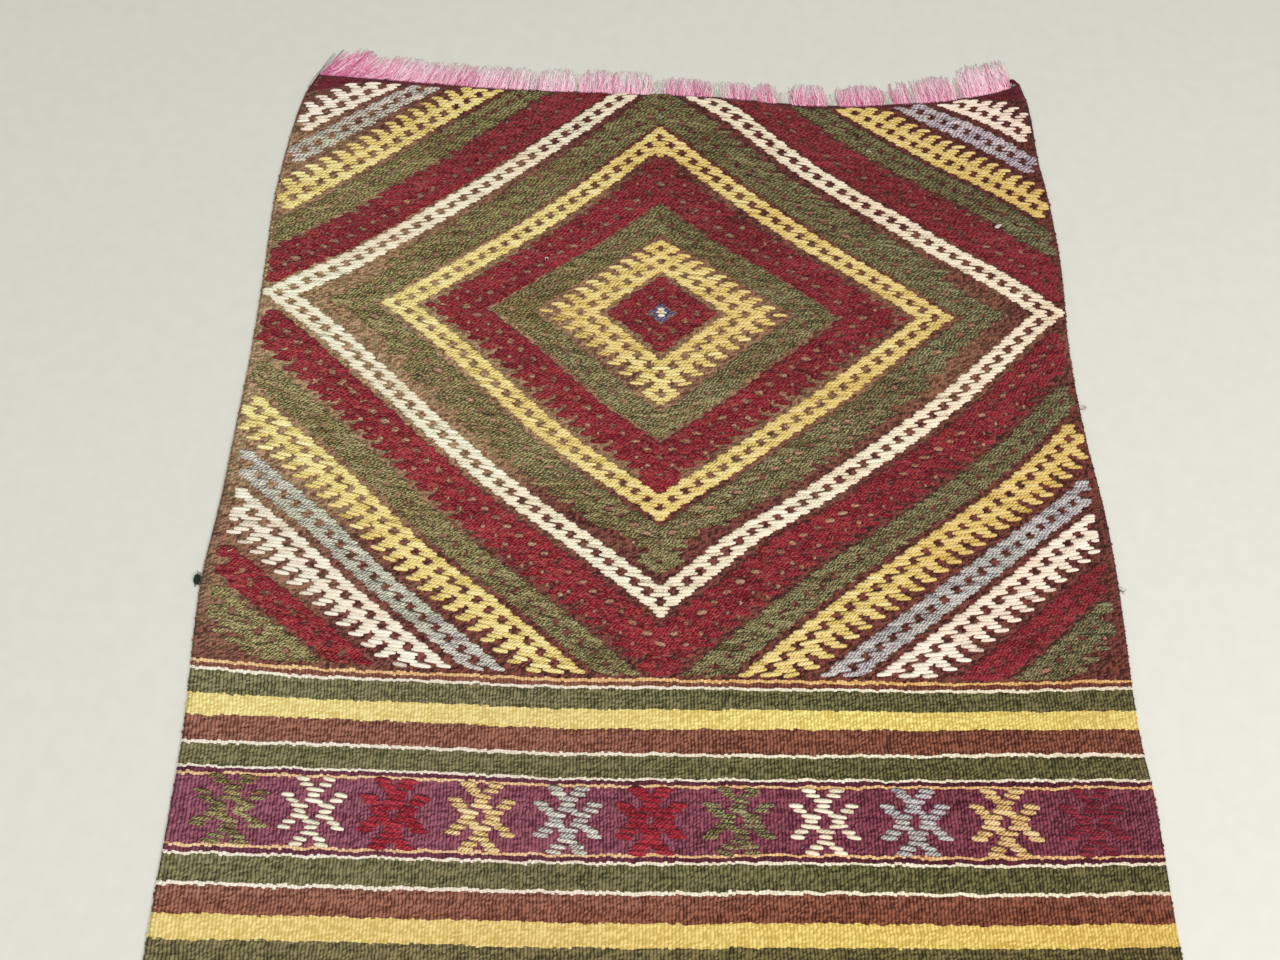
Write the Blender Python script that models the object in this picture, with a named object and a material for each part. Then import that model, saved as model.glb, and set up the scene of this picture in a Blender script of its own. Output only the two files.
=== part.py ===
"""Kilim rug lying flat: a woven wool cloth, a fringe at each end and two knotted yarn ends.

Metres, +Z up. The origin is on the floor under the middle of the rug. +Y runs along the rug to the far
end, whose corners draw in, and +X runs across it to the right.
"""

import math
import random

import bmesh
import bpy
from mathutils import Vector

MM = 0.001

# The cloth
CLOTH_THICKNESS = 2.6 * MM
CLOTH_COLUMNS = 26
CLOTH_ROWS = 56
PIECE_GAP = 0.3 * MM

# The slow waves of the cloth's worn upper face.
SWELL_WAVES = (
    # height, waves a metre across, waves a metre along, phase
    (0.13 * MM, 0.5, 1.5, 0.0),
    (0.12 * MM, 2.2, -0.6, 1.1),
    (0.06 * MM, 3.2, 3.8, 1.6),
    (0.05 * MM, -5.4, 6.1, 0.4),
)

# Where the two selvedges lie at a distance along the rug from its middle.
SELVEDGE_TABLE = (
    # along, left, right
    (-0.790, -0.386, 0.388),
    (-0.730, -0.396, 0.397),
    (-0.620, -0.402, 0.402),
    (-0.500, -0.399, 0.404),
    (-0.360, -0.404, 0.400),
    (-0.220, -0.400, 0.403),
    (-0.090, -0.402, 0.400),
    (0.020, -0.401, 0.402),
    (0.070, -0.401, 0.399),
    (0.200, -0.408, 0.405),
    (0.270, -0.403, 0.405),
    (0.350, -0.400, 0.400),
    (0.440, -0.3975, 0.400),
    (0.530, -0.398, 0.407),
    (0.620, -0.400, 0.4075),
    (0.670, -0.397, 0.404),
    (0.730, -0.391, 0.405),
    (0.765, -0.384, 0.402),
    (0.792, -0.372, 0.394),
)

# Where the outer edge of each end lies at a distance across the rug from its middle.
END_TABLE = (
    # across, far end, near end
    (-0.410, 0.7940, -0.7850),
    (-0.372, 0.7920, -0.7830),
    (-0.307, 0.7850, -0.7785),
    (-0.182, 0.7720, -0.7720),
    (-0.057, 0.7650, -0.7680),
    (0.068, 0.7590, -0.7690),
    (0.168, 0.7495, -0.7700),
    (0.243, 0.7500, -0.7740),
    (0.318, 0.7570, -0.7790),
    (0.368, 0.7680, -0.7830),
    (0.397, 0.7790, -0.7860),
    (0.410, 0.7830, -0.7870),
)

# The fringe: how long its locks are and how far their tips lean sideways, at a distance across the rug.
STRIP_WIDTH = 4.0 * MM
STRIP_HEIGHT = 2.2 * MM
BARE_STRIP_LEFT = 4.0 * MM
BARE_STRIP_RIGHT = 14.0 * MM
LOCKS_AN_END = 140
LOCK_SHARE = 0.56
LOCK_STEPS = 2
LOCK_BEND = 0.2
TIP_WIDTH_SHARE = 0.45
TIP_HEIGHT_SHARE = 0.60
LEAST_TIP_SPACING = 3.5 * MM
TUFT_GATHER = 0.24
TUFT_WIDTHS = (18 * MM, 34 * MM)
LENGTH_SPREAD = 0.05
FAR_FRINGE_TABLE = (
    # across, length, lean
    (-0.400, 0.044, 0.024),
    (-0.340, 0.043, 0.016),
    (-0.250, 0.037, 0.009),
    (-0.150, 0.034, 0.006),
    (-0.040, 0.034, 0.004),
    (0.040, 0.026, 0.000),
    (0.120, 0.027, 0.001),
    (0.220, 0.031, 0.001),
    (0.300, 0.037, -0.002),
    (0.360, 0.043, -0.004),
    (0.400, 0.041, -0.009),
)
NEAR_FRINGE_TABLE = (
    # across, length, lean
    (-0.400, 0.040, 0.006),
    (-0.200, 0.037, 0.003),
    (0.000, 0.035, -0.002),
    (0.200, 0.038, 0.001),
    (0.400, 0.041, -0.006),
)

# The knotted yarn ends
SELVEDGE_KNOT_ALONG = 0.2046
SELVEDGE_KNOT_SIZE = (6.5 * MM, 11.5 * MM, 5.0 * MM)
CORNER_KNOT_ACROSS = 0.3920
CORNER_KNOT_SIZE = (7.0 * MM, 6.0 * MM, 4.5 * MM)
KNOT_LUMPS = 0.12

WEAVE_RED_BROWN = (0.155, 0.035, 0.030, 1.0)
FRINGE_PINK = (0.640, 0.280, 0.420, 1.0)
YARN_DARK_GREEN = (0.035, 0.055, 0.040, 1.0)
YARN_DARK_RED = (0.075, 0.010, 0.018, 1.0)
WOOL_ROUGHNESS = 0.9


def read_table(table, place, column):
    """The value of a table's column at a place, on a smooth curve through its rows."""
    rows = [(row[0], row[column]) for row in table]
    if place <= rows[0][0]:
        return rows[0][1]
    if place >= rows[-1][0]:
        return rows[-1][1]
    after = next(i for i, row in enumerate(rows) if row[0] > place)
    before = after - 1
    here, there = rows[before], rows[after]
    span = there[0] - here[0]

    def slope(index):
        low = rows[max(index - 1, 0)]
        high = rows[min(index + 1, len(rows) - 1)]
        return (high[1] - low[1]) / (high[0] - low[0])

    t = (place - here[0]) / span
    start_part = (1 + 2 * t) * (1 - t) ** 2 * here[1] + t * (1 - t) ** 2 * span * slope(before)
    end_part = t * t * (3 - 2 * t) * there[1] + t * t * (t - 1) * span * slope(after)
    return start_part + end_part


def left_selvedge(along):
    return read_table(SELVEDGE_TABLE, along, 1)


def right_selvedge(along):
    return read_table(SELVEDGE_TABLE, along, 2)


def far_end(across):
    return read_table(END_TABLE, across, 1)


def near_end(across):
    return read_table(END_TABLE, across, 2)


def wool(name, colour):
    """A yarn-dyed wool with no shine."""
    material = bpy.data.materials.new(name)
    material.use_nodes = True
    shader = material.node_tree.nodes["Principled BSDF"]
    shader.inputs["Base Color"].default_value = colour
    shader.inputs["Roughness"].default_value = WOOL_ROUGHNESS
    shader.inputs["Metallic"].default_value = 0.0
    return material


def add_piece(name, bm, material):
    """Puts a finished bmesh in the scene as one named object."""
    bmesh.ops.recalc_face_normals(bm, faces=bm.faces[:])
    mesh = bpy.data.meshes.new(name)
    bm.to_mesh(mesh)
    bm.free()
    mesh.materials.append(material)
    piece = bpy.data.objects.new(name, mesh)
    bpy.context.scene.collection.objects.link(piece)
    return piece


def cloth_swell(across, along):
    """How much the worn upper face stands above or below the cloth's thickness at a place."""
    return sum(
        height * math.sin(math.tau * (a_metre_across * across + a_metre_along * along) + phase)
        for height, a_metre_across, a_metre_along, phase in SWELL_WAVES
    )


def cloth_place(u, v):
    """A point of the cloth in plan: u runs from the left selvedge to the right, v from near end to far."""
    along = near_end(0) + v * (far_end(0) - near_end(0))
    # The two tables lean on each other, so the place is found in a few rounds.
    for _ in range(4):
        across = left_selvedge(along) + u * (right_selvedge(along) - left_selvedge(along))
        near = near_end(across) + STRIP_WIDTH
        far = far_end(across) - STRIP_WIDTH
        along = near + v * (far - near)
    return across, along


def rug_cloth():
    """One flat sheet with the outline it lies in: its upper face is a little uneven, its underside flat."""
    bm = bmesh.new()
    bmesh.ops.create_grid(bm, x_segments=CLOTH_COLUMNS, y_segments=CLOTH_ROWS, size=0.5)
    for vert in bm.verts:
        across, along = cloth_place(vert.co.x + 0.5, vert.co.y + 0.5)
        vert.co = Vector((across, along, CLOTH_THICKNESS + cloth_swell(across, along)))
    rim = [edge for edge in bm.edges if edge.is_boundary]
    skirt = bmesh.ops.extrude_edge_only(bm, edges=rim)["geom"]
    for vert in skirt:
        if isinstance(vert, bmesh.types.BMVert):
            vert.co.z = 0.0
    underside = [edge for edge in bm.edges if edge.is_boundary]
    bmesh.ops.contextual_create(bm, geom=underside)
    return add_piece("rug_cloth", bm, wool("flat_woven_wool", WEAVE_RED_BROWN))


def tuft_middles(first, last, chance):
    """The middles of the tufts that the locks gather into, from one end of the fringe to the other."""
    middles = []
    place = first
    while place < last:
        width = chance.uniform(*TUFT_WIDTHS)
        middles.append(place + width / 2)
        place += width
    return middles


def lock_tips(roots, outer_edge, table, away, chance):
    """Where each lock's tip lies in plan. away is 1 at the far end of the rug and -1 at the near end."""
    middles = tuft_middles(roots[0], roots[-1], chance)
    tips = []
    for root in roots:
        middle = min(middles, key=lambda place: abs(place - root))
        across = root + TUFT_GATHER * (middle - root) + read_table(table, root, 2)
        if tips:
            across = max(across, tips[-1][0] + LEAST_TIP_SPACING)
        length = read_table(table, root, 1) * (1 + LENGTH_SPREAD * chance.uniform(-1, 1))
        lean = across - root
        reach = math.sqrt(max(length**2 - lean**2, (length / 2) ** 2))
        tips.append((across, outer_edge(root) + away * reach))
    return tips


def inner_edge(across, away):
    """The side of a fringe's strip that faces the cloth, a gap off the straight stretches of its end."""
    end = 1.0 if away > 0 else 0.0
    stations = [cloth_place(i / CLOTH_COLUMNS, end) for i in range(CLOTH_COLUMNS + 1)]
    here, there = stations[-2:]
    for pair in zip(stations, stations[1:]):
        if across <= pair[1][0]:
            here, there = pair
            break
    share = (across - here[0]) / (there[0] - here[0])
    return here[1] + share * (there[1] - here[1]) + away * PIECE_GAP


def fringe_strip(bm, columns, outer_edge, away):
    """The strip that the locks are rooted in, parted from the cloth: one cell for each lock and each gap."""
    first = columns[0]
    inner = bm.verts.new((first, inner_edge(first, away), 0.0))
    outer = bm.verts.new((first, outer_edge(first), 0.0))
    front = bm.edges.new((inner, outer))
    for across in columns[1:]:
        grown = bmesh.ops.extrude_edge_only(bm, edges=[front])["geom"]
        front = next(item for item in grown if isinstance(item, bmesh.types.BMEdge))
        ends = sorted(front.verts, key=lambda vert: away * vert.co.y)
        ends[0].co = Vector((across, inner_edge(across, away), 0.0))
        ends[1].co = Vector((across, outer_edge(across), 0.0))
    bmesh.ops.solidify(bm, geom=bm.faces[:], thickness=STRIP_HEIGHT)
    lowest = min(vert.co.z for vert in bm.verts)
    bmesh.ops.translate(bm, verts=bm.verts[:], vec=(0.0, 0.0, -lowest))
    bmesh.ops.recalc_face_normals(bm, faces=bm.faces[:])


def grow_lock(bm, root_face, tip):
    """Draws one lock out of the strip in steps, level on the floor and thinner towards its tip."""
    corners = [vert.co for vert in root_face.verts]
    start = Vector((sum(c.x for c in corners) / 4, sum(c.y for c in corners) / 4))
    half_width = (max(c.x for c in corners) - min(c.x for c in corners)) / 2
    course = Vector(tip) - start
    straight = Vector((0.0, math.copysign(course.length, course.y)))
    face = root_face
    for step in range(1, LOCK_STEPS + 1):
        t = step / LOCK_STEPS
        face = bmesh.ops.extrude_discrete_faces(bm, faces=[face])["faces"][0]
        # The lock leaves the strip squarely and bends over towards its tip.
        middle = start + course * t + (straight - course) * (t * (1 - t) * LOCK_BEND)
        heading = (course + (straight - course) * ((1 - t) * LOCK_BEND)).normalized()
        side = Vector((abs(heading.y), -heading.x * math.copysign(1, heading.y)))
        width = half_width * (1 + (TIP_WIDTH_SHARE - 1) * t)
        height = STRIP_HEIGHT * (1 + (TIP_HEIGHT_SHARE - 1) * t)
        centre_x = sum(vert.co.x for vert in face.verts) / 4
        centre_z = sum(vert.co.z for vert in face.verts) / 4
        for vert in face.verts:
            hand = 1 if vert.co.x > centre_x else -1
            place = middle + side * (hand * width)
            top = height if vert.co.z > centre_z else 0.0
            vert.co = Vector((place.x, place.y, top))


def fringe(name, outer_edge, table, away, seed):
    """A strip along one end of the cloth and the locks of warp yarn that lie out from it."""
    chance = random.Random(seed)
    end = 1.0 if away > 0 else 0.0
    left_corner = cloth_place(0.0, end)[0]
    right_corner = cloth_place(1.0, end)[0]
    first = left_corner + BARE_STRIP_LEFT
    last = right_corner - BARE_STRIP_RIGHT
    pitch = (last - first) / LOCKS_AN_END
    half_lock = pitch * LOCK_SHARE / 2
    roots = [first + (i + 0.5) * pitch for i in range(LOCKS_AN_END)]
    columns = [left_corner]
    for root in roots:
        columns += [root - half_lock, root + half_lock]
    columns.append(right_corner)
    bm = bmesh.new()
    fringe_strip(bm, columns, outer_edge, away)
    outward = [
        face for face in bm.faces if abs(face.normal.z) < 0.5 and away * face.normal.y > 0.5
    ]
    outward.sort(key=lambda face: face.calc_center_median().x)
    tips = lock_tips(roots, outer_edge, table, away, chance)
    for face, tip in zip(outward[1::2], tips):
        grow_lock(bm, face, tip)
    return add_piece(name, bm, wool(name + "_yarn", FRINGE_PINK))


def yarn_knot(name, place, size, colour, seed):
    """A small lumpy knot that lies on the floor against the cloth's edge. place is its middle in plan."""
    chance = random.Random(seed)
    bm = bmesh.new()
    bmesh.ops.create_icosphere(bm, subdivisions=2, radius=0.5)
    for vert in bm.verts:
        vert.co *= 1 - KNOT_LUMPS * chance.random()
    lowest = min(vert.co.z for vert in bm.verts)
    for vert in bm.verts:
        vert.co = Vector(
            (
                place[0] + vert.co.x * size[0],
                place[1] + vert.co.y * size[1],
                (vert.co.z - lowest) * size[2],
            )
        )
    piece = add_piece(name, bm, wool(name + "_yarn", colour))
    piece.data.shade_smooth()
    return piece


def knots():
    """The yarn ends that the weaver left knotted at the left selvedge and at the far right corner."""
    left = left_selvedge(SELVEDGE_KNOT_ALONG) - PIECE_GAP - SELVEDGE_KNOT_SIZE[0] / 2
    yarn_knot(
        "selvedge_knot", (left, SELVEDGE_KNOT_ALONG), SELVEDGE_KNOT_SIZE, YARN_DARK_GREEN, seed=5
    )
    rise = far_end(CORNER_KNOT_ACROSS + MM) - far_end(CORNER_KNOT_ACROSS)
    slant = math.hypot(rise, MM) / MM
    beyond = far_end(CORNER_KNOT_ACROSS) + (PIECE_GAP + CORNER_KNOT_SIZE[1] / 2) * slant
    yarn_knot(
        "corner_knot", (CORNER_KNOT_ACROSS, beyond), CORNER_KNOT_SIZE, YARN_DARK_RED, seed=11
    )


def main():
    for leftover in list(bpy.data.objects):
        bpy.data.objects.remove(leftover)
    rug_cloth()
    fringe("fringe_far", far_end, FAR_FRINGE_TABLE, away=1, seed=3)
    fringe("fringe_near", near_end, NEAR_FRINGE_TABLE, away=-1, seed=8)
    knots()


main()
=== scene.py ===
"""Looks of the kilim rug: its flat-woven ground, its brocaded diamonds and stars, its selvedges and fringes.

Lengths in the tables are in millimetres, in the frame of the CAD: the origin is on the floor under the
middle of the rug, +X runs to the right and +Y to the far end.
"""

import math
from functools import partial

import bmesh
import bpy
import numpy as np
from mathutils import Matrix, Vector


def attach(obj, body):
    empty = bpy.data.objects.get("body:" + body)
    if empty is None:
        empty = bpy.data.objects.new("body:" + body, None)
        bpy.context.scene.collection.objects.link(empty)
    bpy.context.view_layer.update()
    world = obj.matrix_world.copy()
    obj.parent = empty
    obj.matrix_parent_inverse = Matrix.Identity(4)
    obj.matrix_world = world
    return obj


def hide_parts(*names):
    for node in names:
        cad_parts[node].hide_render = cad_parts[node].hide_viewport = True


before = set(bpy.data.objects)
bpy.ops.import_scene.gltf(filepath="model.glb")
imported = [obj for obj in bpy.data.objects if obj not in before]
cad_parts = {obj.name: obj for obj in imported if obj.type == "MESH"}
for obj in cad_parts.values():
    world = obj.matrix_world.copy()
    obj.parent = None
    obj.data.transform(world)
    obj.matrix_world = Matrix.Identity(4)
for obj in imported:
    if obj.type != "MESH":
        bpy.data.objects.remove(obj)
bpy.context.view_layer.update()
chance = np.random.default_rng(1874)

MM = 0.001
WARP_PITCH = 2.95          # between two warps
COLUMN = 5.85              # one column of the chart covers two warps
ROW = 3.07                 # one row of brocade with the ground picks under it
# How far along the rug, and where its middle warp lies there.
AXIS_LINE = ((-900, 120, 300, 480, 900), (-1.0, -1.0, -0.5, 2.5, 3.0))
# The share of its half of the rug that a warp has passed, and the share of the width it has got to.
LEFT_WARPS = ((0, 0.8, 1.0), (0, 0.783, 1.0))
RIGHT_WARPS = ((0, 0.8, 1.0), (0, 0.811, 1.0))
HALF_COLUMNS = 69
HALF_WIDTH = COLUMN * HALF_COLUMNS
FIRST_ROW, LAST_ROW = -119, 96
PANEL_START = 117.5        # from the middle of the star band to the first brocade row

# Where the weft lies. A level is the distance from the middle of the star band along the rug's axis, and
# each line gives where that weft lies at the stations across the rug.
STATIONS = (-400, -300, -200, -85, 0, 90, 202, 300, 395)
BORDER_WEFTS = (
    (-89.0, (-88.8, -90.0, -92.5, -95.3, -96.3, -95.2, -96.0, -96.3, -95.0)),
    (-72.3, (-69.0, -71.8, -74.2, -77.0, -78.1, -77.4, -78.6, -79.0, -77.8)),
    (-51.4, (-47.0, -49.8, -52.0, -54.5, -56.0, -54.8, -56.5, -57.2, -55.4)),
    (-31.2, (-24.2, -27.2, -29.8, -32.5, -33.8, -32.6, -34.8, -35.6, -33.0)),
    (-25.6, (-16.9, -20.5, -23.5, -26.8, -27.4, -27.0, -28.5, -29.0, -27.6)),
    (25.6, (37.8, 34.7, 31.9, 26.1, 25.6, 25.0, 24.4, 24.0, 24.7)),
    (31.2, (43.3, 40.6, 37.5, 32.0, 31.2, 30.4, 30.2, 30.6, 30.8)),
    (51.4, (62.3, 60.2, 56.6, 51.7, 51.4, 49.7, 49.9, 50.8, 50.5)),
    (72.3, (86.0, 82.5, 78.1, 73.1, 72.3, 72.5, 71.3, 72.5, 72.0)),
    (89.0, (104.5, 98.1, 95.0, 89.4, 89.0, 88.8, 86.9, 86.9, 88.0)),
    (107.5, (125.0, 116.8, 113.4, 108.0, 107.5, 106.0, 104.2, 104.3, 107.0)),
    (114.5, (134.5, 123.7, 119.0, 114.0, 114.5, 112.4, 111.0, 111.0, 114.5)),
)
BROCADE_WEFTS = (
    (-118, (139, 136, 131, 126, 123, 122, 123, 118, 122)),
    (-99, (193, 191, 187, 184, 184.5, 182, 178, 176, 178)),
    (-80, (253, 252, 239, 241, 243, 245, 234, 232, 234)),
    (-60, (317, 312, 300, 296, 299, 295, 291, 287, 285)),
    (-40, (381, 371, 363, 354, 355, 354, 348, 345, 350)),
    (-30, (413, 403, 396, 386, 380, 383, 378, 377, 383)),
    (-15, (464, 452, 446, 436, 433, 431, 427, 427, 434)),
    (0, (508, 496, 489, 483, 482, 480, 475, 476, 482)),
    (15, (551, 538, 533, 528, 527, 524, 520, 522, 530)),
    (30, (590, 582, 575, 570, 566, 564, 563, 566, 574)),
    (40, (617, 612, 606, 602, 600, 596, 596, 599, 606)),
    (60, (688, 679, 667, 667, 673, 665, 656, 657, 671)),
    (80, (758, 752, 738, 732, 738, 738, 715, 716, 743)),
    (97, (814, 804, 795, 787, 785, 784, 762, 766, 795)),
)


def chart_level(row):
    """The level of a brocade row, counted from the middle of its panel."""
    return PANEL_START + (row + 120) * ROW


# The diamonds of the brocade, from the middle outwards: middle of the band on the chart's measure (three for
# a column and two for a row), whether it has teeth, and its yarn.
CRIMSON, YELLOW, OLIVE, CREAM, LAVENDER, NAVY, RED, OCHRE, WINE, GROUND, BLUSH = range(1, 12)
DIAMONDS = (
    (18, False, CRIMSON),
    (42, True, YELLOW),
    (78, False, OLIVE),
    (102, True, CRIMSON),
    (138, False, YELLOW),
    (162, True, OLIVE),
    (198, False, CREAM),
    (222, True, CRIMSON),
    (258, False, OLIVE),
    (282, True, YELLOW),
    (318, False, LAVENDER),
    (342, True, BLUSH),
    (378, False, CRIMSON),
    (402, True, OLIVE),
)
# By their middles: the band whose teeth stop beside the tips of the white diamond, the two bands that lie
# closest to the one inside them, and the first band that can meet a selvedge.
SHORT_TEETH, HUGGING, FIRST_AT_EDGE = 162, (222, 258), 222

# The stars of the middle band: where across, and the yarn.
STARS = (
    (-353, OLIVE), (-285, CREAM), (-219, RED), (-148, OCHRE), (-77, LAVENDER), (-10, RED),
    (61.5, OLIVE), (131, CREAM), (205, LAVENDER), (278, OCHRE), (350, WINE),
)
STAR_ROW = 3.95
STAR_STEP = 2.65
LONG, SHORT = 5.4, 3.6    # the floats of a star, in steps
# How long and how thick the floats of a star are, by its yarn.
STAR_FULLNESS = {
    CREAM: (1.0, 0.88), OCHRE: (1.22, 1.06), LAVENDER: (1.05, 0.98), RED: (1.25, 1.1), OLIVE: (0.8, 0.84),
    WINE: (1.15, 0.95),
}
# Each row of a star, from its middle outwards: (place in steps, length), mirrored both ways.
STAR_ROWS = (
    ((4, SHORT),),
    ((4, LONG),),
    ((0, LONG), (7, SHORT)),
    ((0, SHORT), (8.5, SHORT)),
    ((0, LONG),),
    ((3, SHORT),),
    ((4.2, SHORT),),
)


def linear(code):
    """An sRGB hex colour as a linear colour."""
    parts = [int(code[i : i + 2], 16) / 255 for i in (1, 3, 5)]
    return (*[c / 12.92 if c < 0.04045 else ((c + 0.055) / 1.055) ** 2.4 for c in parts], 1.0)


def feed(node, inputs):
    """Gives sockets of a node, by name or in their order, a value, an output, or a node's first output."""
    if isinstance(inputs, dict):
        sockets = [node.inputs[name] for name in inputs]
        inputs = inputs.values()
    else:
        sockets = [socket for socket in node.inputs if socket.enabled]
    for socket, value in zip(sockets, inputs):
        if isinstance(value, bpy.types.Node):
            value = next(output for output in value.outputs if output.enabled)
        if isinstance(value, bpy.types.NodeSocket):
            node.id_data.links.new(value, socket)
        else:
            socket.default_value = value


def add_node(tree, kind, inputs=(), stops=None, **settings):
    """Adds one node with its settings. inputs feed its sockets, and stops are the colours of a ramp."""
    node = tree.nodes.new("ShaderNode" + kind)
    for name, value in settings.items():
        setattr(node, name, value)
    if stops:
        ramp = node.color_ramp
        while len(ramp.elements) < len(stops):
            ramp.elements.new(1.0)
        for element, (place, colour) in zip(ramp.elements, stops):
            element.position = place
            element.color = linear(colour)
    feed(node, inputs)
    return node


def start_material(name, **finish):
    """A new material with its constants on the shader, what adds a node to it, and the shader."""
    material = bpy.data.materials.new(name)
    material.use_nodes = True
    tree = material.node_tree
    shader = tree.nodes["Principled BSDF"]
    feed(shader, {socket.replace("_", " "): value for socket, value in finish.items()})
    return material, partial(add_node, tree), shader


def placed(name, data):
    """A new object that holds this mesh, light or camera."""
    thing = bpy.data.objects.new(name, data)
    bpy.context.scene.collection.objects.link(thing)
    return thing


# ---- where everything lies -------------------------------------------------------------------------------


HALF_ACROSS, HALF_ALONG = 400, 780  # roughly half the cloth, to tell its corners


def rim_lines():
    """The left, right, far and near edge of the cloth as the CAD has them, in mm: one row for where along
    the edge, and one for how far out.
    """
    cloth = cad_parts["rug_cloth"]
    places = {
        (round(v.co.x / MM, 3), round(v.co.y / MM, 3))
        for v in cloth.data.vertices
        if abs(v.co.z) < 1e-5
    }
    rim = np.array(sorted(places, key=lambda p: math.atan2(p[1] / HALF_ALONG, p[0] / HALF_ACROSS)))
    corners = {}
    for name, side, end in (("nl", -1, -1), ("nr", 1, -1), ("fr", 1, 1), ("fl", -1, 1)):
        reach = side * rim[:, 0] / HALF_ACROSS + end * rim[:, 1] / HALF_ALONG
        corners[name] = int(np.argmax(reach))

    def stretch(start, stop):
        count = (stop - start) % len(rim)
        return rim[[(start + i) % len(rim) for i in range(count + 1)]]

    near = stretch(corners["nl"], corners["nr"]).T
    right = stretch(corners["nr"], corners["fr"])[:, ::-1].T
    far = stretch(corners["fr"], corners["fl"])[::-1].T
    left = stretch(corners["fl"], corners["nl"])[::-1, ::-1].T
    return left, right, far, near


LEFT, RIGHT, FAR, NEAR = rim_lines()
# The cloth swells a little past the line of the solids at its far end.
FAR[1] += np.interp(FAR[0], (-400, -380, 30, 140, 400), (1.0, 4.0, 4.0, 1.2, 0.5))


def smoothed(values, reach, axis):
    """Values with their corners worn off over a reach of that many steps."""
    wide = np.concatenate([values.take([0] * reach, axis), values, values.take([-1] * reach, axis)], axis)
    kernel = np.hanning(2 * reach + 3)[1:-1]
    return np.apply_along_axis(np.convolve, axis, wide, kernel / kernel.sum(), "valid")


LAST_BORDER = 89.0
LEVEL_STEP, ACROSS_STEP = 2.0, 5.0
LEVELS = np.arange(-800, 801, LEVEL_STEP)
ACROSS = np.arange(-430, 431, ACROSS_STEP)


def weft_sheet():
    """How far along the rug each weft level lies at each place across it."""
    lines = dict(BORDER_WEFTS)
    lines.update({chart_level(row): values for row, values in BROCADE_WEFTS})
    # Past its own border wefts the near half is the far half mirrored.
    middle = (np.array(lines[LAST_BORDER]) + np.array(lines[-LAST_BORDER])) / 2
    for level in sorted(lines):
        if level > LAST_BORDER:
            lines[-level] = tuple(2 * middle - np.array(lines[level]))
    levels = sorted(lines)
    table = np.array([np.interp(ACROSS, STATIONS, lines[level]) for level in levels])
    table = smoothed(table, 8, 1)
    sheet = np.array([np.interp(LEVELS, levels, table[:, i]) for i in range(len(ACROSS))]).T
    return smoothed(sheet, 3, 0)


WEFT_SHEET = weft_sheet()


def between(sheet, rows, columns):
    """A sheet of numbers read at places between its rows and columns."""
    rows = np.clip(rows, 0, sheet.shape[0] - 1.001)
    columns = np.clip(columns, 0, sheet.shape[1] - 1.001)
    r, c = np.floor(rows).astype(int), np.floor(columns).astype(int)
    dr, dc = rows - r, columns - c
    low = sheet[r, c] * (1 - dc) + sheet[r, c + 1] * dc
    high = sheet[r + 1, c] * (1 - dc) + sheet[r + 1, c + 1] * dc
    return low * (1 - dr) + high * dr


def along_at(level, across):
    return between(WEFT_SHEET, (level - LEVELS[0]) / LEVEL_STEP, (across - ACROSS[0]) / ACROSS_STEP)


def halves_at(along):
    """The middle warp, and how far the cloth goes to its left and to its right."""
    axis = np.interp(along, *AXIS_LINE)
    return axis, axis - np.interp(along, *LEFT), np.interp(along, *RIGHT) - axis


def across_at(warp, along):
    """Where a warp lies: the warps draw together where the selvedges do."""
    axis, left, right = halves_at(along)
    part = abs(warp) / HALF_WIDTH
    return axis + np.where(
        warp < 0, -left * np.interp(part, *LEFT_WARPS), right * np.interp(part, *RIGHT_WARPS)
    )


def place_at(warp, level):
    """Where a crossing of warp and weft lies on the floor, in mm."""
    along = along_at(level, warp)
    for _ in range(2):
        across = across_at(warp, along)
        along = along_at(level, across)
    return across, along


PLAN_STEP = 2.0
PLAN_ALONG = np.arange(-860, 861, PLAN_STEP)
LEVEL_PLAN = np.array([np.interp(PLAN_ALONG, WEFT_SHEET[:, i], LEVELS) for i in range(len(ACROSS))]).T


def level_at(across, along):
    rows = (along - PLAN_ALONG[0]) / PLAN_STEP
    return between(LEVEL_PLAN, rows, (across - ACROSS[0]) / ACROSS_STEP)


def warp_at(across, along):
    axis, left, right = halves_at(along)
    aside = across - axis
    return HALF_WIDTH * np.where(
        aside < 0,
        -np.interp(-aside / left, *LEFT_WARPS[::-1]),
        np.interp(aside / right, *RIGHT_WARPS[::-1]),
    )


CLOTH_TOP = 2.35
# The swells of the cloth: how high, how many waves to a metre across and along, and their phase.
SWELLS = (
    (0.13, 0.5, 1.5, 0.0), (0.12, 2.2, -0.6, 1.1), (0.06, 3.2, 3.8, 1.6), (0.05, -5.4, 6.1, 0.4),
    (0.05, 13.0, 9.0, 0.7), (0.05, -11.0, 17.0, 2.1), (0.04, 24.0, -7.0, 1.3), (0.04, 6.0, 29.0, 0.2),
)


def cloth_height(across, along):
    """The top of the ground weave above the floor, in mm, with its slow swells and puckers."""
    x, y = across * MM, along * MM
    height = CLOTH_TOP
    for swell, waves_across, waves_along, phase in SWELLS:
        height = height + swell * np.sin(math.tau * (waves_across * x + waves_along * y) + phase)
    return height


def heading_depth(across):
    """How deep the dark heading is at a place across the rug, in mm."""
    return np.interp(
        across, (-378, -356, -330, -240, -160, -70, -50, 70, 90, 180, 352, 374, 395),
        (26, 18, 8, 4.5, 3.5, 2.6, 0.8, 0.8, 2.6, 3.6, 3.6, 13, 19),
    )


def room_at(across, along):
    """How far a place is from the heading of the nearer end, in mm. In a heading it is below nought."""
    to_end = np.minimum(np.interp(across, *FAR) - along, along - np.interp(across, *NEAR))
    return to_end - heading_depth(across)


# ---- joined copies ---------------------------------------------------------------------------------------


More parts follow.
